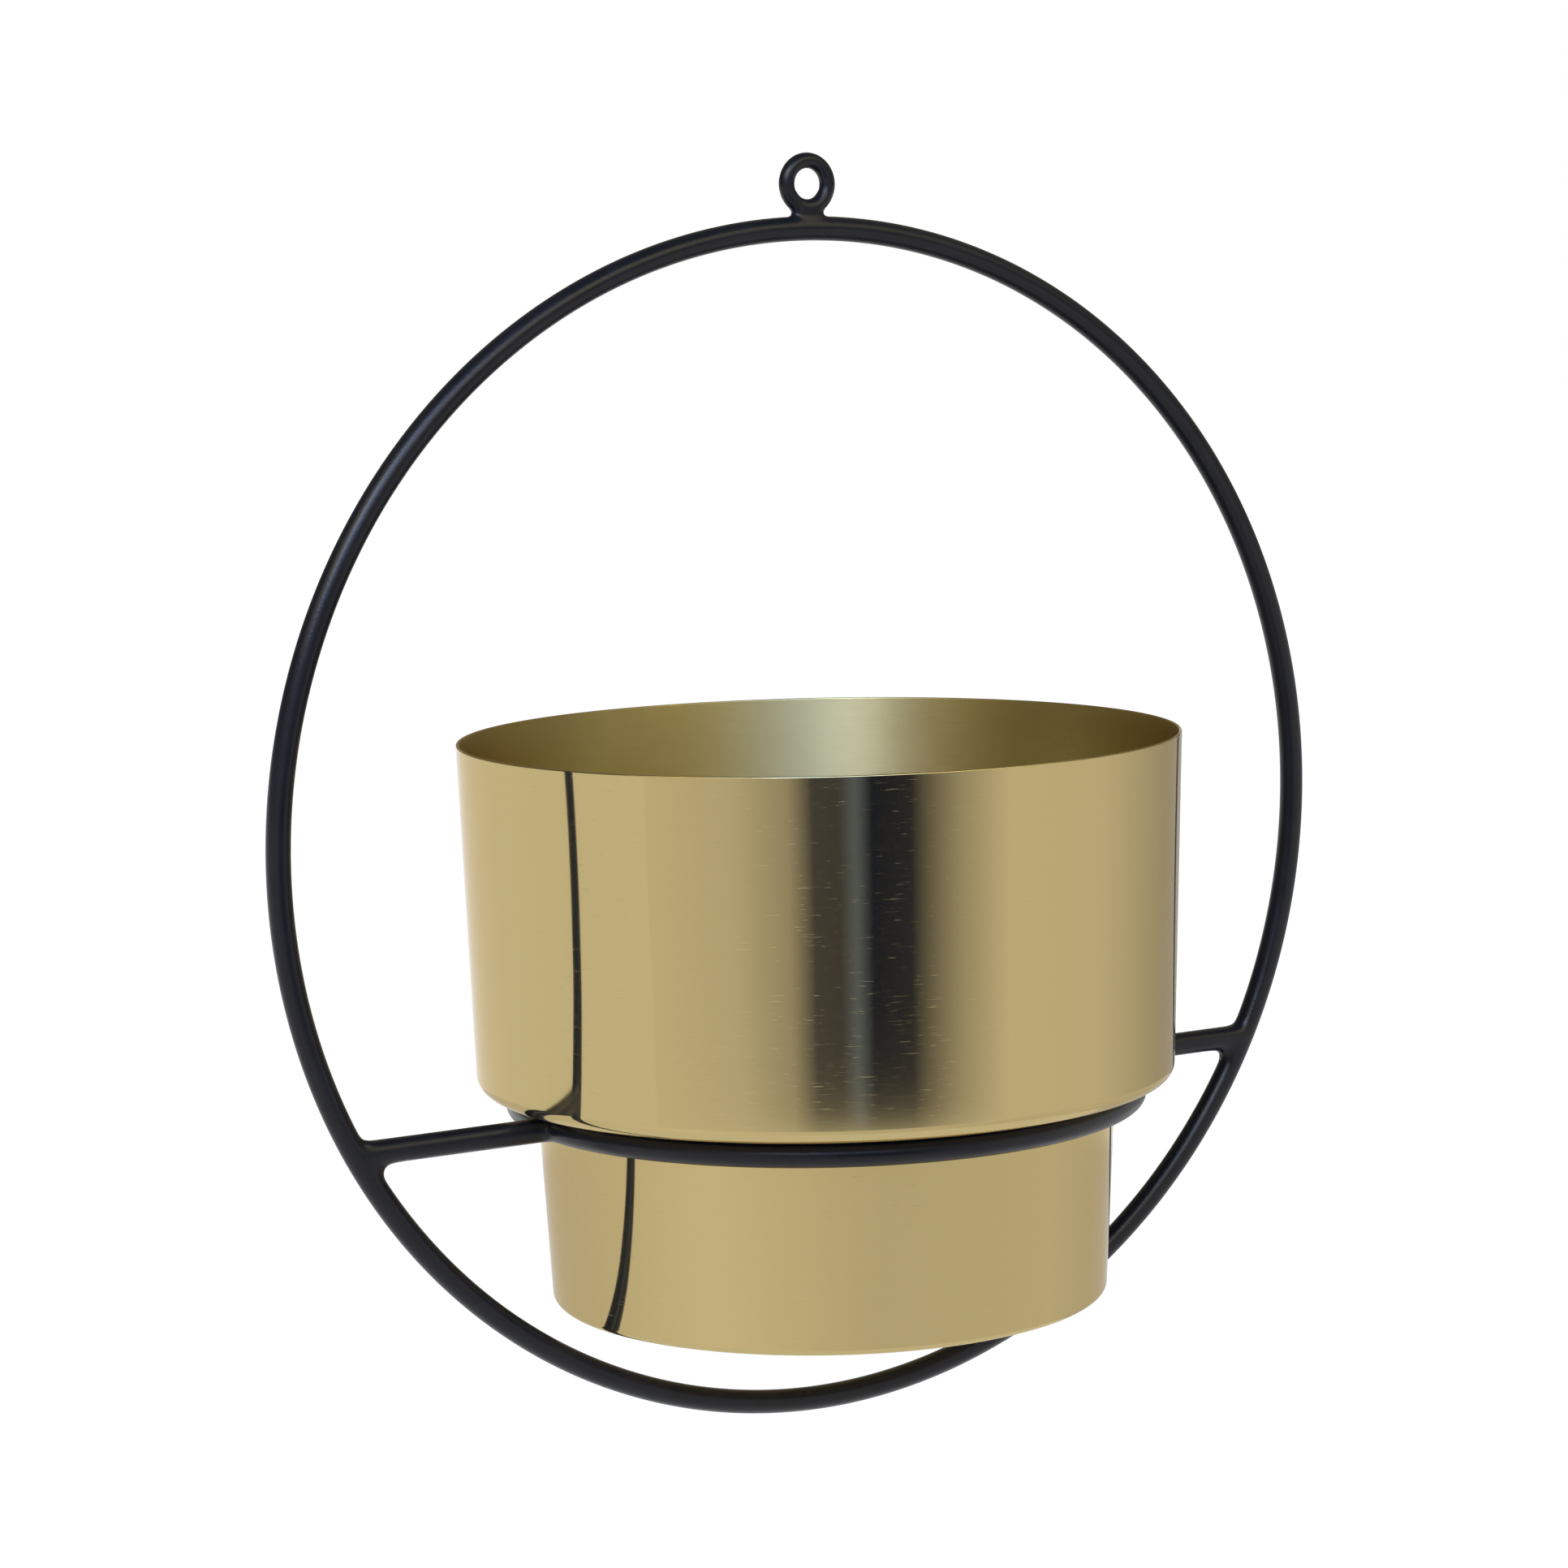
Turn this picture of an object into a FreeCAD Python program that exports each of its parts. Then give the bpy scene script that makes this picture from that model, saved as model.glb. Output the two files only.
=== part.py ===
import FreeCAD, Part
import math
import os

import Sketcher
from FreeCAD import Rotation, Vector

# Hanging planter: a bar hoop with a hanging eye on top and a level ring inside it.
# A stepped sheet-metal pot drops into the ring and rests there on its own shoulder.
# Origin at the centre of the eye's hole, Z up, hoop in the XZ plane, millimetres.

doc = FreeCAD.newDocument("HangingPlanter")

# Driving sizes: alias, value, meaning
SIZE_ROWS = [
    ("bar_diameter", "6.5", "round bar of the hoop, the ring and the struts"),
    ("hoop_diameter", "320", "centre line of the hoop"),
    ("eye_hole", "8.4", "hole of the hanging eye"),
    ("eye_wire", "4.2", "wire of the hanging eye"),
    ("eye_root_gap", "0.1", "between the eye and the hoop, bridged by the weld"),
    ("cope_gap", "0.1", "between a strut's coped end and the bar that it meets"),
    ("foot_diameter", "152.2", "outside of the pot's base, bend taken sharp"),
    ("lower_flare", "3.1", "how far the lower tier widens from the base to the throat, per side"),
    ("lower_height", "57.7", "from the base up to the throat, where the shoulder starts"),
    ("shoulder_ledge", "16.1", "how far the shoulder stands out from the throat, bends taken sharp"),
    ("shoulder_rise", "2", "how far the shoulder climbs from the throat to its edge"),
    ("upper_height", "93.8", "from the shoulder's edge up to the rim"),
    ("wall_flare", "3", "how far the upper tier widens from the shoulder to the rim, per side"),
    ("sheet_thickness", "0.8", "metal of the pot"),
    ("shoulder_bend", "4", "outside radius of the bend at the shoulder's edge"),
    ("throat_bend", "1.5", "outside radius of the bend between shoulder and lower tier"),
    ("foot_bend", "2", "outside radius of the bend at the base"),
    ("foot_clearance", "6.5", "between the pot's foot, taken sharp, and the inside of the hoop"),
    ("ring_clearance", "1.9", "around the pot's throat, inside the ring"),
    ("seat_clearance", "0.3", "between the shoulder and the top of the ring"),
    ("upper_web", "5", "fillet of the hoop weld above the strut"),
    ("lower_web", "3", "fillet of the hoop weld below the strut"),
    ("ring_web", "2.5", "fillet of the ring weld on both sides of the strut"),
    ("weld_toe", "0.25", "depth at which a weld's section starts below the bar's surface"),
    ("weld_crown", "0.35", "how far a weld stands proud of the bar at its sides"),
    ("neck_length", "9.6", "eye weld along the hoop, where it meets the eye"),
    ("neck_flare", "1.2", "how much further the eye weld reaches on each side along the hoop"),
]

sizes = doc.addObject("Spreadsheet::Sheet", "Sizes")
for row, (alias, value, meaning) in enumerate(SIZE_ROWS, start=1):
    sizes.set(f"A{row}", meaning)
    sizes.set(f"B{row}", value)
    sizes.setAlias(f"B{row}", alias)
doc.recompute()

# Places and radii that follow from the driving sizes
LAYOUT = {
    "bar_radius": "Sizes.bar_diameter / 2",
    "hoop_radius": "Sizes.hoop_diameter / 2",
    "hoop_inside": "Layout.hoop_radius - Layout.bar_radius",
    "eye_radius": "(Sizes.eye_hole + Sizes.eye_wire) / 2",
    "eye_outside": "Sizes.eye_hole / 2 + Sizes.eye_wire",
    "hoop_top": "-Layout.eye_outside - Sizes.eye_root_gap",
    "hoop_z": "Layout.hoop_top - Layout.bar_radius - Layout.hoop_radius",
    "foot_radius": "Sizes.foot_diameter / 2",
    "throat_radius": "Layout.foot_radius + Sizes.lower_flare",
    "shoulder_radius": "Layout.throat_radius + Sizes.shoulder_ledge",
    "shoulder_slope": "Sizes.shoulder_rise / Sizes.shoulder_ledge",
    "rim_radius": "Layout.shoulder_radius + Sizes.wall_flare",
    "base_drop": "sqrt((Layout.hoop_inside - Sizes.foot_clearance) ^ 2 - Layout.foot_radius ^ 2)",
    "pot_z": "Layout.hoop_z - Layout.base_drop",
    "ring_radius": "Layout.throat_radius + Sizes.ring_clearance + Layout.bar_radius",
    "seat_z": "Layout.pot_z + Sizes.lower_height"
              " + (Layout.ring_radius - Layout.throat_radius) * Layout.shoulder_slope",
    "ring_z": "Layout.seat_z - Sizes.seat_clearance - Layout.bar_radius * sqrt(1 + Layout.shoulder_slope ^ 2)",
    "ring_drop": "Layout.hoop_z - Layout.ring_z",
    "joint_x": "sqrt(Layout.hoop_radius ^ 2 - Layout.ring_drop ^ 2)",
    "hoop_lean": "asin(Layout.ring_drop / Layout.hoop_radius) / 1 deg",
    "weld_start": "Layout.bar_radius - Sizes.weld_toe",
    "neck_half": "Sizes.neck_length / 2",
    "neck_z": "-sqrt(Layout.eye_outside ^ 2 - Layout.neck_half ^ 2)",
}

layout = doc.addObject("App::VarSet", "Layout")
for name in LAYOUT:
    layout.addProperty("App::PropertyFloat", name)
for name, formula in LAYOUT.items():
    layout.setExpression(name, formula)
doc.recompute()


def bind(item, bindings):
    """Tie the properties of a document object to formulas over the sizes."""
    for path, formula in bindings.items():
        item.setExpression(path, formula)
    return item


def bar_circle(label, radius, bar_radius, height, upright):
    """A full circle of round bar, lying level or standing in the XZ plane."""
    circle = doc.addObject("Part::Torus", label)
    if upright:
        circle.Placement.Rotation = Rotation(Vector(1, 0, 0), 90)
    return bind(circle, {"Radius1": radius, "Radius2": bar_radius, "Placement.Base.z": height})


def cut(label, base, first_tool, second_tool):
    """The base solid with two tools taken away in turn."""
    rough = doc.addObject("Part::Cut", f"{label}_rough")
    rough.Base = base
    rough.Tool = first_tool
    result = doc.addObject("Part::Cut", label)
    result.Base = rough
    result.Tool = second_tool
    return result


def mirrored(label, source):
    """The right-hand copy of a left-hand piece."""
    copy = doc.addObject("Part::Mirroring", label)
    copy.Source = source
    copy.Normal = Vector(1, 0, 0)
    return copy


def loft(label, sections):
    """A smooth solid through a row of ellipses."""
    body = doc.addObject("Part::Loft", label)
    body.Sections = sections
    body.Solid = True
    return body


def ellipse(label, turn, bindings):
    """One section of a weld."""
    section = doc.addObject("Part::Ellipse", label)
    section.Placement.Rotation = turn
    return bind(section, bindings)


# Hoop, hanging eye and carrier ring: bar and wire rolled into closed circles
hoop = bar_circle("hoop", "Layout.hoop_radius", "Layout.bar_radius", "Layout.hoop_z", True)
eye = bar_circle("hanging_eye", "Layout.eye_radius", "Sizes.eye_wire / 2", "0", True)
ring = bar_circle("carrier_ring", "Layout.ring_radius", "Layout.bar_radius", "Layout.ring_z", False)

# Left strut: a straight bar from hoop to ring, its ends coped round the bars that it meets
COPE_RADIUS = "Layout.bar_radius + Sizes.cope_gap"
hoop_cope = bar_circle("hoop_cope", "Layout.hoop_radius", COPE_RADIUS, "Layout.hoop_z", True)
ring_cope = bar_circle("ring_cope", "Layout.ring_radius", COPE_RADIUS, "Layout.ring_z", False)
strut_bar = doc.addObject("Part::Cylinder", "strut_bar")
strut_bar.Placement.Rotation = Rotation(Vector(0, 1, 0), 90)
bind(strut_bar, {
    "Radius": "Layout.bar_radius",
    "Height": "Layout.joint_x - Layout.ring_radius",
    "Placement.Base.x": "-Layout.joint_x",
    "Placement.Base.z": "Layout.ring_z",
})
left_strut = cut("left_strut", strut_bar, hoop_cope, ring_cope)


# Left hoop weld: a collar with a small fillet above the strut and a deeper web below it.
# The hoop leans over the strut, so each section is tilted between the two fillet arcs.
def fillet_point(web, share, side):
    """A point of a fillet arc, along the strut and above it, from the joint's centre.

    share runs from 0 on the strut to 1 on the hoop, side is 1 above the strut and -1 below.
    """
    reach = f"(Layout.weld_start + {web})"
    lean = f"{side} * Layout.hoop_lean * 1 deg"
    turn = f"{share} * (90 deg - {lean})"
    along = f"({reach} * (1 - sin({lean})) / cos({lean}) - {web} * sin({turn}))"
    above = f"({side} * ({reach} - {web} * cos({turn})))"
    return along, above


def tilted_section(label, share, crown, inset):
    """An ellipse between the upper and the lower fillet, moved into the hoop by inset."""
    top_x, top_z = fillet_point("Sizes.upper_web", share, 1)
    low_x, low_z = fillet_point("Sizes.lower_web", share, -1)
    run = f"({top_x} - {low_x})"
    rise = f"({top_z} - {low_z})"
    lean = "Layout.hoop_lean * 1 deg"
    return ellipse(label, Rotation(Vector(0, 1, 0), 90), {
        "MajorRadius": f"sqrt({run} ^ 2 + {rise} ^ 2) / 2",
        "MinorRadius": f"Layout.bar_radius + {crown}",
        "Placement.Base.x": f"({top_x} + {low_x}) / 2 - {inset} * cos({lean}) - Layout.joint_x",
        "Placement.Base.z": f"({top_z} + {low_z}) / 2 - {inset} * sin({lean}) + Layout.ring_z",
        "Placement.Rotation.Angle": f"-atan2({rise}; {run})",
    })


hoop_weld_sections = [
    tilted_section("hoop_weld_tip", 0, "-Sizes.weld_toe", "0"),
    tilted_section("hoop_weld_slope", 0.3, "Sizes.weld_crown / 2", "0"),
    tilted_section("hoop_weld_crown", 0.65, "Sizes.weld_crown", "0"),
    tilted_section("hoop_weld_foot", 1, "Sizes.weld_crown", "0"),
    tilted_section("hoop_weld_root", 1, "Sizes.weld_crown / 2", "Layout.weld_start"),
]
left_hoop_weld = cut("left_hoop_weld", loft("hoop_weld_bead", hoop_weld_sections), strut_bar, hoop)


# Left ring weld: strut and ring lie level, so the fillets are to the front and the back.
# The bead closes under the strut and stays below the ring's top, where the pot sits.
def level_section(label, share, inset):
    """An ellipse across the strut, moved into the ring by inset."""
    turn = f"{share} * 90 deg"
    along = f"Layout.weld_start + Sizes.ring_web * (1 - sin({turn})) - {inset}"
    sag = f"(Sizes.weld_toe + Sizes.weld_crown) * (1 - cos({turn})) / 2"
    return ellipse(label, Rotation(Vector(1, 1, 1), 120), {
        "MajorRadius": f"Layout.weld_start + Sizes.ring_web * (1 - cos({turn}))",
        "MinorRadius": f"Layout.weld_start + {sag}",
        "Placement.Base.x": f"-Layout.ring_radius - ({along})",
        "Placement.Base.z": f"Layout.ring_z - {sag}",
    })


ring_weld_sections = [
    level_section("ring_weld_tip", 0, "0"),
    level_section("ring_weld_slope", 0.3, "0"),
    level_section("ring_weld_crown", 0.65, "0"),
    level_section("ring_weld_foot", 1, "0"),
    level_section("ring_weld_root", 1, "Layout.bar_radius"),
]
left_ring_weld = cut("left_ring_weld", loft("ring_weld_bead", ring_weld_sections), strut_bar, ring)

# Eye weld: a short neck from inside the hoop's top to inside the eye's lowest stretch of wire
def neck_section(label, height, half_length, crown):
    """A level ellipse of the neck."""
    return ellipse(label, Rotation(), {
        "MajorRadius": half_length,
        "MinorRadius": f"Sizes.eye_wire / 2 + {crown}",
        "Placement.Base.z": height,
    })


NECK_FOOT = "Layout.neck_half + Sizes.neck_flare"
neck_sections = [
    neck_section("neck_root", "Layout.hoop_top - Layout.bar_radius / 2", NECK_FOOT, "0"),
    neck_section("neck_foot", "Layout.hoop_top", NECK_FOOT, "Sizes.weld_crown"),
    neck_section("neck_waist", "Layout.neck_z", "Layout.neck_half", "0"),
    neck_section("neck_tip", "-Layout.eye_radius", "Layout.neck_half - Sizes.weld_toe", "-Sizes.weld_toe"),
]
eye_weld = cut("eye_weld", loft("neck_bead", neck_sections), hoop, eye)

# Right-hand struts and welds
right_strut = mirrored("right_strut", left_strut)
right_hoop_weld = mirrored("right_hoop_weld", left_hoop_weld)
right_ring_weld = mirrored("right_ring_weld", left_ring_weld)


# Pot: half of the outside drawn in the XZ plane, turned round Z and hollowed from the top
def pot_profile(body):
    """The half outline from the axis along base, lower tier, shoulder and upper tier."""
    plane = next(item for item in body.Origin.OriginFeatures if item.Role == "XZ_Plane")
    sketch = body.newObject("Sketcher::SketchObject", "pot_outline")
    sketch.AttachmentSupport = [(plane, "")]
    sketch.MapMode = "FlatFace"

    middle = Vector(0, 0)
    foot_corner = Vector(layout.foot_radius, 0)
    throat_corner = Vector(layout.throat_radius, sizes.lower_height)
    edge_corner = throat_corner + Vector(sizes.shoulder_ledge, sizes.shoulder_rise)
    rim_point = edge_corner + Vector(sizes.wall_flare, sizes.upper_height)
    mouth_middle = Vector(0, rim_point.y)

    def line(start, end):
        return sketch.addGeometry(Part.LineSegment(start, end))

    def bend(before, corner, after, radius):
        """The arc that rounds a corner, with its ends on the two lines that meet there."""
        back = (before - corner).normalize()
        onward = (after - corner).normalize()
        half_angle = back.getAngle(onward) / 2
        centre = corner + (back + onward).normalize() * (radius / math.sin(half_angle))
        touches = [corner + back * (radius / math.tan(half_angle)),
                   corner + onward * (radius / math.tan(half_angle))]
        if back.cross(onward).z > 0:
            touches.reverse()
        first, last = [math.atan2(touch.y - centre.y, touch.x - centre.x) for touch in touches]
        circle = Part.Circle(centre, Vector(0, 0, 1), radius)
        return sketch.addGeometry(Part.ArcOfCircle(circle, first, last))

    base = line(middle, foot_corner)
    foot_arc = bend(middle, foot_corner, throat_corner, sizes.foot_bend)
    lower_wall = line(foot_corner, throat_corner)
    throat_arc = bend(foot_corner, throat_corner, edge_corner, sizes.throat_bend)
    shoulder = line(throat_corner, edge_corner)
    edge_arc = bend(throat_corner, edge_corner, rim_point, sizes.shoulder_bend)
    upper_wall = line(edge_corner, rim_point)
    mouth = line(rim_point, mouth_middle)
    axis = line(mouth_middle, middle)
    foot_point, throat_point, edge_point = [
        sketch.addGeometry(Part.Point(corner), True) for corner in (foot_corner, throat_corner, edge_corner)]

    def constrain(kind, *arguments):
        return sketch.addConstraint(Sketcher.Constraint(kind, *arguments))

    def dimension(name, formula, kind, *arguments):
        index = constrain(kind, *arguments)
        sketch.renameConstraint(index, name)
        sketch.setExpression(f"Constraints.{name}", formula)

    def start(edge):
        return (edge, 1)

    def end(edge):
        return (edge, 2)

    origin = (-1, 1)
    constrain("Tangent", *end(base), *start(foot_arc))
    constrain("Tangent", *end(foot_arc), *start(lower_wall))
    constrain("Tangent", *end(lower_wall), *end(throat_arc))
    constrain("Tangent", *start(throat_arc), *start(shoulder))
    constrain("Tangent", *end(shoulder), *start(edge_arc))
    constrain("Tangent", *end(edge_arc), *start(upper_wall))
    constrain("Coincident", *end(upper_wall), *start(mouth))
    constrain("Coincident", *end(mouth), *start(axis))
    constrain("Coincident", *end(axis), *start(base))
    constrain("Coincident", *start(base), *origin)
    constrain("Horizontal", base)
    constrain("Horizontal", mouth)
    constrain("Vertical", axis)
    corners = [(foot_point, base, lower_wall), (throat_point, lower_wall, shoulder),
               (edge_point, shoulder, upper_wall)]
    for corner, line_before, line_after in corners:
        constrain("PointOnObject", *start(corner), line_before)
        constrain("PointOnObject", *start(corner), line_after)
    dimension("foot_radius", "Layout.foot_radius", "DistanceX",
              *origin, *start(foot_point), layout.foot_radius)
    dimension("lower_flare", "Sizes.lower_flare", "DistanceX",
              *start(foot_point), *start(throat_point), sizes.lower_flare)
    dimension("lower_height", "Sizes.lower_height", "DistanceY",
              *start(foot_point), *start(throat_point), sizes.lower_height)
    dimension("shoulder_ledge", "Sizes.shoulder_ledge", "DistanceX",
              *start(throat_point), *start(edge_point), sizes.shoulder_ledge)
    dimension("shoulder_rise", "Sizes.shoulder_rise", "DistanceY",
              *start(throat_point), *start(edge_point), sizes.shoulder_rise)
    dimension("wall_flare", "Sizes.wall_flare", "DistanceX",
              *start(edge_point), *end(upper_wall), sizes.wall_flare)
    dimension("upper_height", "Sizes.upper_height", "DistanceY",
              *start(edge_point), *end(upper_wall), sizes.upper_height)
    dimension("foot_bend", "Sizes.foot_bend", "Radius", foot_arc, sizes.foot_bend)
    dimension("throat_bend", "Sizes.throat_bend", "Radius", throat_arc, sizes.throat_bend)
    dimension("shoulder_bend", "Sizes.shoulder_bend", "Radius", edge_arc, sizes.shoulder_bend)
    return sketch


pot = doc.addObject("PartDesign::Body", "pot")
outline = pot_profile(pot)
turned = pot.newObject("PartDesign::Revolution", "pot_solid")
turned.Profile = outline
turned.ReferenceAxis = (outline, ["V_Axis"])
turned.Angle = 360
doc.recompute()

faces = turned.Shape.Faces
mouth_face = max(range(len(faces)), key=lambda index: faces[index].CenterOfMass.z)
hollowed = pot.newObject("PartDesign::Thickness", "pot_wall")
hollowed.Base = (turned, [f"Face{mouth_face + 1}"])
hollowed.Reversed = True
bind(hollowed, {"Value": "Sizes.sheet_thickness"})
bind(pot, {"Placement.Base.z": "Layout.pot_z"})
doc.recompute()

# Each piece, checked and written to its own file
PIECES = [
    hoop, eye, eye_weld, ring, left_strut, right_strut,
    left_hoop_weld, right_hoop_weld, left_ring_weld, right_ring_weld, pot,
]
for item in doc.Objects:
    if "Invalid" in item.State or "Error" in item.State:
        raise RuntimeError(f"{item.Label} failed to build: {item.State}")
for piece in PIECES:
    if piece.Shape.isNull() or not piece.Shape.isValid() or len(piece.Shape.Solids) != 1:
        raise RuntimeError(f"{piece.Label} is not one valid solid")
if hollowed.Shape.Volume >= turned.Shape.Volume:
    raise RuntimeError("the pot is not hollow")

os.makedirs("parts", exist_ok=True)
for piece in PIECES:
    piece.Shape.exportStep(f"parts/{piece.Label}.step")
    print(f"{piece.Label}: {piece.Shape.Volume:.1f} mm3")
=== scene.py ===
import math

import bpy
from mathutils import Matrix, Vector


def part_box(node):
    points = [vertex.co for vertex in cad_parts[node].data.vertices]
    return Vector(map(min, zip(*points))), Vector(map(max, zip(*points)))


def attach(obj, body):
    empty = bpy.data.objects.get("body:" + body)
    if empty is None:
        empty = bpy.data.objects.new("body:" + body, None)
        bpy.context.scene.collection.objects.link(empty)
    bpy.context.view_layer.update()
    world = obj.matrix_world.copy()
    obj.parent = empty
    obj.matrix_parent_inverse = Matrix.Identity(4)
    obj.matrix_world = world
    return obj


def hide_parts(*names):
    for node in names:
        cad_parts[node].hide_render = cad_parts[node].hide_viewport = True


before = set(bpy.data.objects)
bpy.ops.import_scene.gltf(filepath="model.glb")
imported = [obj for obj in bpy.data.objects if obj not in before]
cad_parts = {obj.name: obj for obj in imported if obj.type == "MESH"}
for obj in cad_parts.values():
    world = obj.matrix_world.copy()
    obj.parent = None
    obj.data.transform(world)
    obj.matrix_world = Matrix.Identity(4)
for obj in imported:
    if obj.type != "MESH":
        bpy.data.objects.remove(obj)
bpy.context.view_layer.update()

# Hoop: one length of round steel bar, rolled into a full circle, its ends butt-welded and
# ground flush. The whole frame is powder coated satin black once it is welded together.
hoop_low, hoop_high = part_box("hoop")
hoop_centre = (hoop_low + hoop_high) / 2
bar_radius = (hoop_high.y - hoop_low.y) / 2
hoop_radius = (hoop_high.x - hoop_low.x) / 2 - bar_radius
ACROSS = Vector((0, 1, 0))
UPWARDS = Vector((0, 0, 1))
MERGE_DISTANCE = 1e-6
COAT_TONES = [(0.0025, 0.0048, 0.0110, 1), (0.0040, 0.0065, 0.0145, 1)]
COAT_SHEEN = (0.52, 0.46, 0.36, 1)


def tone_ramp(nodes, links, source, tones):
    """The darker and the paler tone of a finish, mottled by a noise."""
    ramp = nodes.new("ShaderNodeValToRGB")
    for stop, position, tone in zip(ramp.color_ramp.elements, (0.3, 0.7), tones):
        stop.position = position
        stop.color = tone
    links.new(source, ramp.inputs["Fac"])
    return ramp.outputs["Color"]


def relief(nodes, links, place, scale, detail, strength, depth):
    """The shallow unevenness of a surface."""
    grain = nodes.new("ShaderNodeTexNoise")
    grain.inputs["Scale"].default_value = scale
    grain.inputs["Detail"].default_value = detail
    links.new(place, grain.inputs["Vector"])
    bump = nodes.new("ShaderNodeBump")
    bump.inputs["Strength"].default_value = strength
    bump.inputs["Distance"].default_value = depth
    links.new(grain.outputs["Fac"], bump.inputs["Height"])
    return bump.outputs["Normal"]


def powder_coat():
    """Satin black powder coat: nearly black, with the fine orange peel of baked powder."""
    coat = bpy.data.materials.new("satin_black_powder_coat")
    coat.use_nodes = True
    nodes, links = coat.node_tree.nodes, coat.node_tree.links
    shader = nodes["Principled BSDF"]
    shader.inputs["Specular Tint"].default_value = COAT_SHEEN
    place = nodes.new("ShaderNodeTexCoord").outputs["Object"]

    cloud = nodes.new("ShaderNodeTexNoise")
    cloud.inputs["Scale"].default_value = 90
    cloud.inputs["Detail"].default_value = 4
    links.new(place, cloud.inputs["Vector"])
    tone = tone_ramp(nodes, links, cloud.outputs["Fac"], COAT_TONES)
    links.new(tone, shader.inputs["Base Color"])
    gloss = nodes.new("ShaderNodeMapRange")
    gloss.inputs["To Min"].default_value = 0.25
    gloss.inputs["To Max"].default_value = 0.35
    links.new(cloud.outputs["Fac"], gloss.inputs["Value"])
    links.new(gloss.outputs["Result"], shader.inputs["Roughness"])

    peel = relief(nodes, links, place, scale=1100, detail=2, strength=0.10, depth=0.0004)
    links.new(peel, shader.inputs["Normal"])
    return coat


def bar_section(axis, place, radius, sides):
    """The round section of a bar, set square to the circle that the bar follows."""
    turn = (math.pi / 2, 0, 0) if axis == UPWARDS else (0, 0, 0)
    bpy.ops.mesh.primitive_circle_add(vertices=sides, radius=radius, location=place, rotation=turn)
    bpy.ops.object.transform_apply(location=True, rotation=True, scale=True)
    return bpy.context.object


def rolled_bar(name, centre, axis, path_radius, section_radius, sides, steps):
    """A closed circle of round bar: its round section is turned about the circle's axis."""
    bar = bar_section(axis, centre + Vector((path_radius, 0, 0)), section_radius, sides)
    bar.name = name
    bpy.ops.object.mode_set(mode="EDIT")
    bpy.ops.mesh.select_all(action="SELECT")
    bpy.ops.mesh.spin(steps=steps, angle=math.tau, center=centre, axis=axis)
    bpy.ops.mesh.select_all(action="SELECT")
    bpy.ops.mesh.remove_doubles(threshold=MERGE_DISTANCE)
    bpy.ops.mesh.normals_make_consistent(inside=False)
    bpy.ops.object.mode_set(mode="OBJECT")
    bpy.ops.object.shade_smooth()
    return bar


def join_frame(piece, node, finish):
    """The piece stands for its node, rides on the frame and takes the frame's finish."""
    piece.data.materials.clear()
    piece.data.materials.append(finish)
    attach(piece, "frame")
    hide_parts(node)


black_coat = powder_coat()
hoop = rolled_bar("rolled_hoop", hoop_centre, ACROSS, hoop_radius, bar_radius, sides=40, steps=360)
join_frame(hoop, "hoop", black_coat)

# Hanging eye: a short length of thinner wire bent into a closed ring on top of the hoop.
# A ceiling hook or a cord goes through it.
eye_low, eye_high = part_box("hanging_eye")
eye_centre = (eye_low + eye_high) / 2
eye_wire_radius = (eye_high.y - eye_low.y) / 2
eye_radius = (eye_high.x - eye_low.x) / 2 - eye_wire_radius
eye = rolled_bar("eye_ring", eye_centre, ACROSS, eye_radius, eye_wire_radius, sides=32, steps=96)
join_frame(eye, "hanging_eye", black_coat)

# Carrier ring: a level circle of the hoop's bar that the pot drops into. It hangs inside the
# hoop on two struts.
ring_low, ring_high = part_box("carrier_ring")
ring_centre = (ring_low + ring_high) / 2
ring_radius = (ring_high.x - ring_low.x) / 2 - bar_radius
ring = rolled_bar("rolled_ring", ring_centre, UPWARDS, ring_radius, bar_radius, sides=40, steps=240)
join_frame(ring, "carrier_ring", black_coat)

# Struts: two short straight lengths of the same bar that carry the ring. Both ends are coped
# to the round bars they meet, the hoop outside and the ring inside.
hoop_drop = hoop_centre.z - ring_centre.z
hoop_reach = math.sqrt(hoop_radius ** 2 - hoop_drop ** 2)


def straight_bar(left, right, height, radius, sides):
    """A straight length of round bar along the struts' line."""
    bpy.ops.mesh.primitive_cylinder_add(
        vertices=sides, radius=radius, depth=right - left,
        location=((left + right) / 2, 0, height), rotation=(0, math.pi / 2, 0))
    bpy.ops.object.transform_apply(location=True, rotation=True, scale=True)
    return bpy.context.object


def coped_strut(name):
    """The left strut: a straight bar from centre line to centre line, less the bars it meets."""
    strut = straight_bar(-hoop_reach, -ring_radius, ring_centre.z, bar_radius, sides=40)
    strut.name = name
    for bar in (hoop, ring):
        cope = strut.modifiers.new("cope", "BOOLEAN")
        cope.operation = "DIFFERENCE"
        cope.solver = "EXACT"
        cope.object = bar
        bpy.ops.object.modifier_apply(modifier=cope.name)
    bpy.ops.object.shade_smooth_by_angle(angle=math.radians(40))
    return strut


def mirrored(piece, name):
    """The same piece again for the right-hand side."""
    bpy.ops.object.select_all(action="DESELECT")
    piece.select_set(True)
    bpy.context.view_layer.objects.active = piece
    bpy.ops.object.duplicate()
    twin = bpy.context.object
    twin.name = name
    twin.scale.x = -1
    bpy.ops.object.transform_apply(location=True, rotation=True, scale=True)
    bpy.ops.object.mode_set(mode="EDIT")
    bpy.ops.mesh.select_all(action="SELECT")
    bpy.ops.mesh.normals_make_consistent(inside=False)
    bpy.ops.object.mode_set(mode="OBJECT")
    return twin


left_strut = coped_strut("coped_strut_left")
right_strut = mirrored(left_strut, "coped_strut_right")
join_frame(left_strut, "left_strut", black_coat)
join_frame(right_strut, "right_strut", black_coat)

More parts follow.
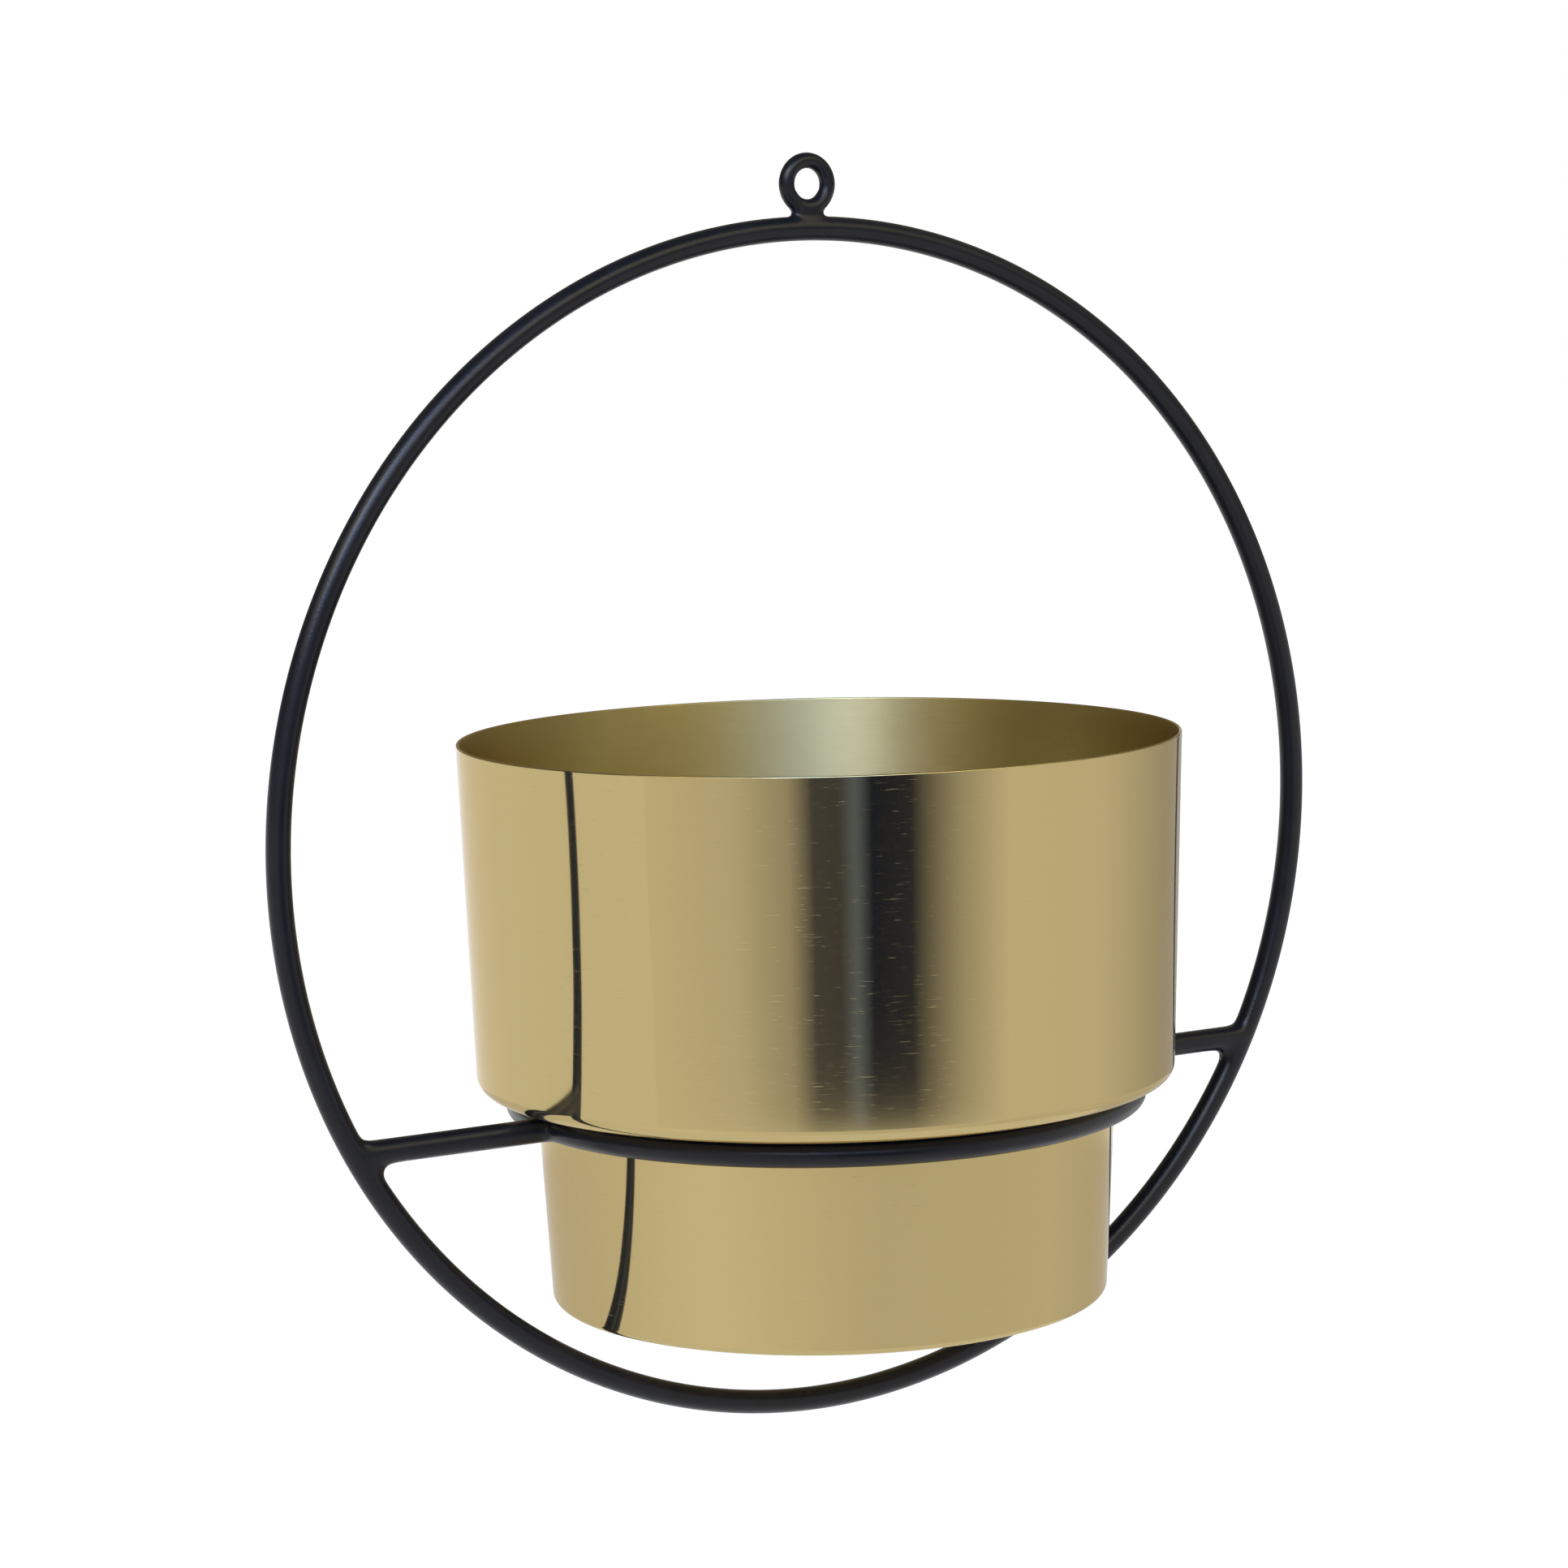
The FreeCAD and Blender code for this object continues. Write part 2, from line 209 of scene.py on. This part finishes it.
# Welds: a run of weld metal fills the corner wherever two bars meet, and the powder coat
# flows over it, so that each joint shows as a smooth fillet.
GRAIN = 0.0004
SINK = 0.00002
DRAW_IN = 1 / 25
STUB_SIDES = 32
eye_passes = 110
eye_arc = math.radians(170)
eye_hoop_arc = math.radians(9)
eye_foot_reach = 0.0042
eye_foot_lift = 0.0004
hoop_passes = 200
hoop_arc = math.radians(11)
hoop_stub = 0.017
corner_drop_reach = 0.0064
corner_drop_radius = 0.0029
ring_passes = 110
ring_arc = math.radians(15)
ring_stub = 0.011


def swollen(radius, passes):
    """Smoothing draws a round bar in, so it starts thicker and ends just under the bar's skin."""
    return radius + passes * DRAW_IN * GRAIN ** 2 / radius - SINK


def bar_arc(centre, axis, path_radius, section_radius, middle, sweep):
    """A short arc of round bar with closed ends, about the given middle angle."""
    arc = bar_section(axis, (path_radius, 0, 0), section_radius, STUB_SIDES)
    bpy.ops.object.mode_set(mode="EDIT")
    bpy.ops.mesh.select_all(action="SELECT")
    bpy.ops.mesh.spin(steps=24, angle=-sweep, center=(0, 0, 0), axis=axis)
    bpy.ops.mesh.select_all(action="SELECT")
    bpy.ops.mesh.fill_holes(sides=0)
    bpy.ops.mesh.normals_make_consistent(inside=False)
    bpy.ops.object.mode_set(mode="OBJECT")
    arc.rotation_euler = axis * (middle - sweep / 2)
    arc.location = centre
    bpy.ops.object.transform_apply(location=True, rotation=True, scale=True)
    return arc


def weld_drop(place, radius):
    """A drop of weld metal."""
    bpy.ops.mesh.primitive_uv_sphere_add(segments=24, ring_count=12, radius=radius, location=place)
    bpy.ops.object.transform_apply(location=True, rotation=True, scale=True)
    return bpy.context.object


def weld_bead(name, stubs, passes):
    """Stubs of the bars that meet, melted into one and smoothed until the corners fill."""
    bpy.ops.object.select_all(action="DESELECT")
    for stub in stubs:
        stub.select_set(True)
    bpy.context.view_layer.objects.active = stubs[0]
    bpy.ops.object.join()
    bead = bpy.context.object
    bead.name = name
    melt = bead.modifiers.new("melt", "REMESH")
    melt.mode = "VOXEL"
    melt.voxel_size = GRAIN
    flow = bead.modifiers.new("flow", "SMOOTH")
    flow.factor = 0.5
    flow.iterations = passes
    bpy.ops.object.modifier_apply(modifier=melt.name)
    bpy.ops.object.modifier_apply(modifier=flow.name)
    bpy.ops.object.shade_smooth()
    return bead


eye_stub_radius = swollen(eye_wire_radius, eye_passes)
eye_hoop_radius = swollen(bar_radius, eye_passes)
eye_foot_z = hoop_high.z + eye_foot_lift
eye_weld = weld_bead("eye_weld_bead", [
    bar_arc(eye_centre, ACROSS, eye_radius, eye_stub_radius, math.pi / 2, eye_arc),
    bar_arc(hoop_centre, ACROSS, hoop_radius, eye_hoop_radius, -math.pi / 2, eye_hoop_arc),
    straight_bar(-eye_foot_reach, eye_foot_reach, eye_foot_z, eye_wire_radius, STUB_SIDES),
], eye_passes)
join_frame(eye_weld, "eye_weld", black_coat)

hoop_lean = math.asin(hoop_drop / hoop_radius)
joint = Vector((-hoop_reach, 0, ring_centre.z))
corner_angle = (math.pi / 2 - hoop_lean) / 2
into_corner = Vector((math.cos(corner_angle), 0, -math.sin(corner_angle)))
hoop_stub_radius = swollen(bar_radius, hoop_passes)
left_hoop_weld = weld_bead("hoop_weld_bead_left", [
    bar_arc(hoop_centre, ACROSS, hoop_radius, hoop_stub_radius, math.pi - hoop_lean, hoop_arc),
    straight_bar(joint.x, joint.x + hoop_stub, joint.z, hoop_stub_radius, STUB_SIDES),
    weld_drop(joint + corner_drop_reach * into_corner, corner_drop_radius),
], hoop_passes)
right_hoop_weld = mirrored(left_hoop_weld, "hoop_weld_bead_right")
join_frame(left_hoop_weld, "left_hoop_weld", black_coat)
join_frame(right_hoop_weld, "right_hoop_weld", black_coat)

ring_stub_radius = swollen(bar_radius, ring_passes)
ring_stub_end = -ring_radius - ring_stub
left_ring_weld = weld_bead("ring_weld_bead_left", [
    bar_arc(ring_centre, UPWARDS, ring_radius, ring_stub_radius, math.pi, ring_arc),
    straight_bar(ring_stub_end, -ring_radius, ring_centre.z, ring_stub_radius, STUB_SIDES),
], ring_passes)
right_ring_weld = mirrored(left_ring_weld, "ring_weld_bead_right")
join_frame(left_ring_weld, "left_ring_weld", black_coat)
join_frame(right_ring_weld, "right_ring_weld", black_coat)

# Pot: one sheet of brass-finished metal, deep drawn into two tapered tiers with a shoulder
# between them, polished and lacquered outside, brushed satin inside and trimmed at the rim.
# It rests in the ring by its shoulder and lifts out.
pot_low, pot_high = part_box("pot")
base_z = pot_low.z
rim_z = pot_high.z
rim_radius = pot_high.x
foot_radius = 0.0761
throat_radius = 0.0792
lower_height = 0.0577
throat_z = base_z + lower_height
shoulder_radius = 0.0953
shoulder_rise = 0.002
shoulder_z = throat_z + shoulder_rise
sheet_thickness = 0.0008
foot_bend = 0.002
throat_bend = 0.0015
shoulder_bend = 0.004
bend_segments = 12
rim_rounding = 0.00036
POT_STEPS = 384
POLISHED_TONES = [(0.477, 0.375, 0.165, 1), (0.489, 0.385, 0.170, 1)]
SATIN_TONES = [(0.500, 0.404, 0.184, 1), (0.540, 0.436, 0.200, 1)]
BRASS_EDGE_TINT = (0.90, 0.82, 0.68, 1)


def brass(name, tones, gloss, anisotropy, lines, spread, lacquer):
    """Pale brass sheet with fine marks that run around the pot, under a thin hazy lacquer."""
    metal = bpy.data.materials.new(name)
    metal.use_nodes = True
    nodes, links = metal.node_tree.nodes, metal.node_tree.links
    shader = nodes["Principled BSDF"]
    shader.inputs["Metallic"].default_value = 1
    shader.inputs["Anisotropic"].default_value = anisotropy
    shader.inputs["Anisotropic Rotation"].default_value = 0.25
    shader.inputs["Coat Weight"].default_value = lacquer
    shader.inputs["Coat Roughness"].default_value = 0.5
    shader.inputs["Specular Tint"].default_value = BRASS_EDGE_TINT
    tangent = nodes.new("ShaderNodeTangent")
    tangent.direction_type = "RADIAL"
    tangent.axis = "Z"
    links.new(tangent.outputs["Tangent"], shader.inputs["Tangent"])

    place = nodes.new("ShaderNodeTexCoord").outputs["Object"]
    stretch = nodes.new("ShaderNodeMapping")
    stretch.inputs["Scale"].default_value = lines
    links.new(place, stretch.inputs["Vector"])
    marks = nodes.new("ShaderNodeTexNoise")
    marks.inputs["Scale"].default_value = 1
    marks.inputs["Detail"].default_value = 3
    links.new(stretch.outputs["Vector"], marks.inputs["Vector"])
    tone = tone_ramp(nodes, links, marks.outputs["Fac"], tones)
    links.new(tone, shader.inputs["Base Color"])
    haze = nodes.new("ShaderNodeMapRange")
    haze.inputs["From Min"].default_value = spread[0]
    haze.inputs["From Max"].default_value = spread[1]
    haze.inputs["To Min"].default_value = gloss[0]
    haze.inputs["To Max"].default_value = gloss[1]
    links.new(marks.outputs["Fac"], haze.inputs["Value"])
    links.new(haze.outputs["Result"], shader.inputs["Roughness"])

    wave = relief(nodes, links, place, scale=30, detail=1, strength=0.5, depth=0.0001)
    links.new(wave, shader.inputs["Normal"])
    return metal


def start_point(name, place):
    """A new piece, open for editing, that is still a single point."""
    bpy.ops.mesh.primitive_plane_add()
    piece = bpy.context.object
    piece.name = name
    bpy.ops.object.mode_set(mode="EDIT")
    bpy.ops.mesh.select_all(action="SELECT")
    bpy.ops.mesh.merge(type="CENTER")
    bpy.ops.transform.translate(value=place)
    return piece


def drawn_pot(name):
    """The pot's outline from the middle of its base to its rim, turned about its axis."""
    path = [
        Vector((0, 0, base_z)),
        Vector((foot_radius, 0, base_z)),
        Vector((throat_radius, 0, throat_z)),
        Vector((shoulder_radius, 0, shoulder_z)),
        Vector((rim_radius, 0, rim_z)),
    ]
    pot = start_point(name, path[0])
    for here, there in zip(path, path[1:]):
        bpy.ops.mesh.extrude_region_move(TRANSFORM_OT_translate={"value": there - here})
    for index, bend in ((1, foot_bend), (2, throat_bend), (3, shoulder_bend)):
        corner = path[index]
        opening = (path[index - 1] - corner).angle(path[index + 1] - corner)
        bpy.ops.mesh.select_all(action="DESELECT")
        bpy.ops.object.mode_set(mode="OBJECT")
        for vertex in pot.data.vertices:
            vertex.select = (vertex.co - corner).length < sheet_thickness / 4
        bpy.ops.object.mode_set(mode="EDIT")
        bpy.ops.mesh.bevel(
            offset=bend / math.tan(opening / 2), offset_type="OFFSET", segments=bend_segments,
            affect="VERTICES")
    bpy.ops.mesh.select_all(action="SELECT")
    bpy.ops.mesh.spin(steps=POT_STEPS, angle=math.tau, center=(0, 0, 0), axis=UPWARDS)
    bpy.ops.mesh.select_all(action="SELECT")
    bpy.ops.mesh.remove_doubles(threshold=MERGE_DISTANCE)
    bpy.ops.mesh.normals_make_consistent(inside=False)
    bpy.ops.object.mode_set(mode="OBJECT")
    return pot


pot = drawn_pot("drawn_pot")
pot.data.materials.append(brass(
    "polished_brass", POLISHED_TONES, gloss=(0.07, 0.30), anisotropy=0.85,
    lines=(190, 190, 5200), spread=(0.64, 0.73), lacquer=0.4))
pot.data.materials.append(brass(
    "satin_brass", SATIN_TONES, gloss=(0.36, 0.46), anisotropy=0.75,
    lines=(120, 120, 9000), spread=(0.3, 0.7), lacquer=0))
wall = pot.modifiers.new("wall", "SOLIDIFY")
wall.thickness = sheet_thickness
wall.offset = -1
wall.material_offset = 1
rounding = pot.modifiers.new("rim_rounding", "BEVEL")
rounding.width = rim_rounding
rounding.segments = 4
rounding.limit_method = "ANGLE"
rounding.angle_limit = math.radians(50)
even = pot.modifiers.new("even_normals", "WEIGHTED_NORMAL")
even.weight = 100
bpy.ops.object.shade_smooth()
for modifier in list(pot.modifiers):
    bpy.ops.object.modifier_apply(modifier=modifier.name)
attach(pot, "pot")
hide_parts("pot")

# Floor: a plain pale floor, far enough below the hanging planter that its soft shadow hardly
# shows. It is matt paint, so that nothing mirrors in it.
FLOOR_DROP = 0.4
FLOOR_SIZE = 24
FLOOR_COLOUR = (0.92, 0.92, 0.92, 1)
bpy.ops.mesh.primitive_plane_add(size=FLOOR_SIZE, location=(0, 0, hoop_low.z - FLOOR_DROP))
floor = bpy.context.object
floor.name = "floor"
floor_paint = bpy.data.materials.new("pale_floor")
floor_paint.use_nodes = True
paint = floor_paint.node_tree.nodes["Principled BSDF"]
paint.inputs["Base Color"].default_value = FLOOR_COLOUR
paint.inputs["Roughness"].default_value = 1
paint.inputs["Specular IOR Level"].default_value = 0
floor.data.materials.append(floor_paint)

# Camera: a long lens about 1.1 m from the planter, a little below the top of the hoop. It looks
# slightly down and sees the hoop turned by a third of a right angle.
CAMERA_PLACE = (-0.58609, -0.98075, -0.02361)
CAMERA_TURN = [math.radians(angle) for angle in (83.125, 1.249, -30.53)]
bpy.ops.object.camera_add(location=CAMERA_PLACE, rotation=CAMERA_TURN)
camera = bpy.context.object
camera.data.lens = 97.192
camera.data.sensor_width = 36
bpy.context.scene.camera = camera
camera_azimuth = math.atan2(CAMERA_PLACE[1], CAMERA_PLACE[0])

# Studio cards: curved cards around the planter that only its gloss sees, pale walls with a dark
# gap between them and a window in dim surroundings. Tones go by degrees right of the camera.
BAND_TONES = [
    (-50, (1.0, 1.0, 1.0)), (-24, (0.86, 0.86, 0.86)), (-9, (0.55, 0.55, 0.55)),
    (-2, (0.08, 0.08, 0.08)), (5, (0.07, 0.07, 0.07)), (9.5, (0.15, 0.21, 0.38)),
    (14, (0.0, 0.0, 0.0)), (25, (0.02, 0.02, 0.02)), (40, (0.60, 0.60, 0.60)),
    (55, (1.0, 1.0, 1.0)),
]
RIGHT_TONES = [
    (55, (1.0, 1.0, 1.0)), (90, (0.95, 0.95, 0.95)), (130, (0.55, 0.55, 0.55)),
    (160, (0.45, 0.45, 0.45)), (180, (1.0, 1.0, 1.0)),
]
LOW_TONES = [
    (-180, (0.70, 0.70, 0.70)), (-45, (1.1, 1.1, 1.1)), (20, (0.88, 0.88, 0.88)),
    (95, (0.92, 0.92, 0.92)), (150, (0.70, 0.70, 0.70)), (180, (0.70, 0.70, 0.70)),
]
WINDOW_TONES = [
    (-70, (0.35, 0.3, 0.2)), (-45, (3.0, 2.7, 1.7)), (-21, (3.0, 3.8, 5.8)),
    (-14, (5.0, 7.4, 14.8)), (2, (4.8, 6.9, 13.0)), (25, (3.5, 4.0, 4.6)),
    (45, (3.2, 3.0, 2.0)), (100, (0.35, 0.3, 0.2)),
]
SURROUND_TONES = [
    (-180, (0.28, 0.25, 0.16)), (-105, (0.16, 0.15, 0.10)), (0, (0.35, 0.31, 0.18)),
    (180, (0.28, 0.25, 0.16)),
]
CARD_STEPS = 64
# A card's angles are counted from a little before its left edge, in radians.
LEAD_ANGLE = 0.2
# The colour sockets of a Mix node go by their places, because their names are shared.
MIX_FIRST, MIX_SECOND, MIX_RESULT = 6, 7, 2


def curved_sheet(name, radius, low, high, start_angle, sweep):
    """An upright sheet bent about the planter's axis, from the start angle to the right."""
    corner = (radius * math.cos(start_angle), radius * math.sin(start_angle), low)
    sheet = start_point(name, corner)
    bpy.ops.mesh.extrude_region_move(TRANSFORM_OT_translate={"value": (0, 0, high - low)})
    bpy.ops.mesh.select_all(action="SELECT")
    bpy.ops.mesh.spin(steps=CARD_STEPS, angle=sweep, center=(0, 0, 0), axis=UPWARDS)
    bpy.ops.object.mode_set(mode="OBJECT")
    return sheet


def edge_fade(nodes, links, height, edge, inner):
    """Nothing at the card's edge, rising softly to full strength inside it."""
    rise = nodes.new("ShaderNodeMapRange")
    rise.interpolation_type = "SMOOTHSTEP"
    rise.inputs["From Min"].default_value = edge
    rise.inputs["From Max"].default_value = inner
    links.new(height, rise.inputs["Value"])
    return rise.outputs["Result"]


def gloss_only(card):
    """The card shows in the planter's gloss and nowhere else."""
    card.visible_camera = False
    card.visible_diffuse = False
    card.visible_shadow = False


def studio_card(name, tones, radius, low, high, fade, beyond=1.0):
    """A curved card that glows in its tones from left to right, and fades to the level beyond."""
    first, last = tones[0][0], tones[-1][0]
    span = last - first
    start_angle = camera_azimuth + math.radians(first)
    card = curved_sheet(name, radius, low, high, start_angle, -math.radians(span))

    glow = bpy.data.materials.new(name + "_glow")
    glow.use_nodes = True
    nodes, links = glow.node_tree.nodes, glow.node_tree.links
    nodes.remove(nodes["Principled BSDF"])
    place = nodes.new("ShaderNodeTexCoord")
    turn = nodes.new("ShaderNodeMapping")
    turn.inputs["Rotation"].default_value = (0, 0, -start_angle)
    links.new(place.outputs["Object"], turn.inputs["Vector"])
    axes = nodes.new("ShaderNodeSeparateXYZ")
    links.new(turn.outputs["Vector"], axes.inputs["Vector"])
    angle = nodes.new("ShaderNodeMath")
    angle.operation = "ARCTAN2"
    links.new(axes.outputs["Y"], angle.inputs[0])
    links.new(axes.outputs["X"], angle.inputs[1])
    wrap = nodes.new("ShaderNodeMath")
    wrap.operation = "WRAP"
    wrap.inputs[1].default_value = math.tau - LEAD_ANGLE
    wrap.inputs[2].default_value = -LEAD_ANGLE
    links.new(angle.outputs["Value"], wrap.inputs[0])
    share = nodes.new("ShaderNodeMapRange")
    share.inputs["From Max"].default_value = math.radians(span)
    links.new(wrap.outputs["Value"], share.inputs["Value"])
    ramp = nodes.new("ShaderNodeValToRGB")
    stops = ramp.color_ramp.elements
    for degrees, tone in tones[1:-1]:
        stops.new((degrees - first) / span)
    brightest = max(beyond, max(max(tone) for degrees, tone in tones))
    for stop, (degrees, tone) in zip(stops, tones):
        stop.position = (degrees - first) / span
        stop.color = [level / brightest for level in tone] + [1]
    links.new(share.outputs["Result"], ramp.inputs["Fac"])

    body = nodes.new("ShaderNodeMath")
    body.operation = "MULTIPLY"
    height = axes.outputs["Z"]
    links.new(edge_fade(nodes, links, height, low, low + fade), body.inputs[0])
    links.new(edge_fade(nodes, links, height, high, high - fade), body.inputs[1])
    blend = nodes.new("ShaderNodeMix")
    blend.data_type = "RGBA"
    blend.inputs[MIX_FIRST].default_value = [beyond / brightest] * 3 + [1]
    links.new(body.outputs["Value"], blend.inputs["Factor"])
    links.new(ramp.outputs["Color"], blend.inputs[MIX_SECOND])
    emission = nodes.new("ShaderNodeEmission")
    emission.inputs["Strength"].default_value = brightest
    links.new(blend.outputs[MIX_RESULT], emission.inputs["Color"])
    links.new(emission.outputs["Emission"], nodes["Material Output"].inputs["Surface"])
    card.data.materials.append(glow)
    gloss_only(card)


studio_card("dark_band_card", BAND_TONES, radius=0.45, low=-0.3375, high=-0.13, fade=0.0035)
studio_card("right_card", RIGHT_TONES, radius=0.46, low=-0.352, high=-0.10, fade=0.012)
studio_card("low_card", LOW_TONES, radius=0.47, low=-0.62, high=-0.354, fade=0.012)
studio_card("surround_card", SURROUND_TONES, radius=1.7, low=-0.15, high=1.9, fade=0.08)
studio_card("window_card", WINDOW_TONES, radius=1.3, low=0.22, high=1.45, fade=0.4, beyond=0.3)

# Ceiling: a round grey card overhead, which closes the ring of cards. The tops of the bars and
# the inside of the pot mirror it.
CEILING_Z = 1.9
CEILING_RADIUS = 1.75
CEILING_GREY = (0.15, 0.15, 0.15, 1)
bpy.ops.mesh.primitive_circle_add(
    vertices=CARD_STEPS, radius=CEILING_RADIUS, fill_type="NGON", location=(0, 0, CEILING_Z))
ceiling = bpy.context.object
ceiling.name = "ceiling_card"
ceiling_grey = bpy.data.materials.new("ceiling_grey")
ceiling_grey.use_nodes = True
nodes, links = ceiling_grey.node_tree.nodes, ceiling_grey.node_tree.links
nodes.remove(nodes["Principled BSDF"])
dim = nodes.new("ShaderNodeEmission")
dim.inputs["Color"].default_value = CEILING_GREY
links.new(dim.outputs["Emission"], nodes["Material Output"].inputs["Surface"])
ceiling.data.materials.append(ceiling_grey)
gloss_only(ceiling)

# Light: plain white surroundings, and one broad and slightly cool lamp from above the camera's
# left shoulder. It gives the bars their highlight and the inside of the pot its pale streak.
LAMP_ENERGY = 0.95
LAMP_COLOUR = (0.76, 0.86, 1.0)
LAMP_WIDTH = math.radians(16)
LAMP_TURN = math.radians(14)
LAMP_RISE = 0.75
world = bpy.data.worlds.new("white_studio")
bpy.context.scene.world = world
world.use_nodes = True
background = world.node_tree.nodes["Background"]
background.inputs["Color"].default_value = (1, 1, 1, 1)
background.inputs["Strength"].default_value = 1
bpy.ops.object.light_add(type="SUN", location=(0, 0, 1))
lamp = bpy.context.object
lamp.data.energy = LAMP_ENERGY
lamp.data.color = LAMP_COLOUR
lamp.data.angle = LAMP_WIDTH
lamp_azimuth = camera_azimuth - LAMP_TURN
towards_lamp = Vector((math.cos(lamp_azimuth), math.sin(lamp_azimuth), LAMP_RISE))
lamp.rotation_euler = towards_lamp.to_track_quat("Z", "Y").to_euler()

# Picture: colours are shown as they are written.
bpy.context.scene.view_settings.view_transform = "Standard"
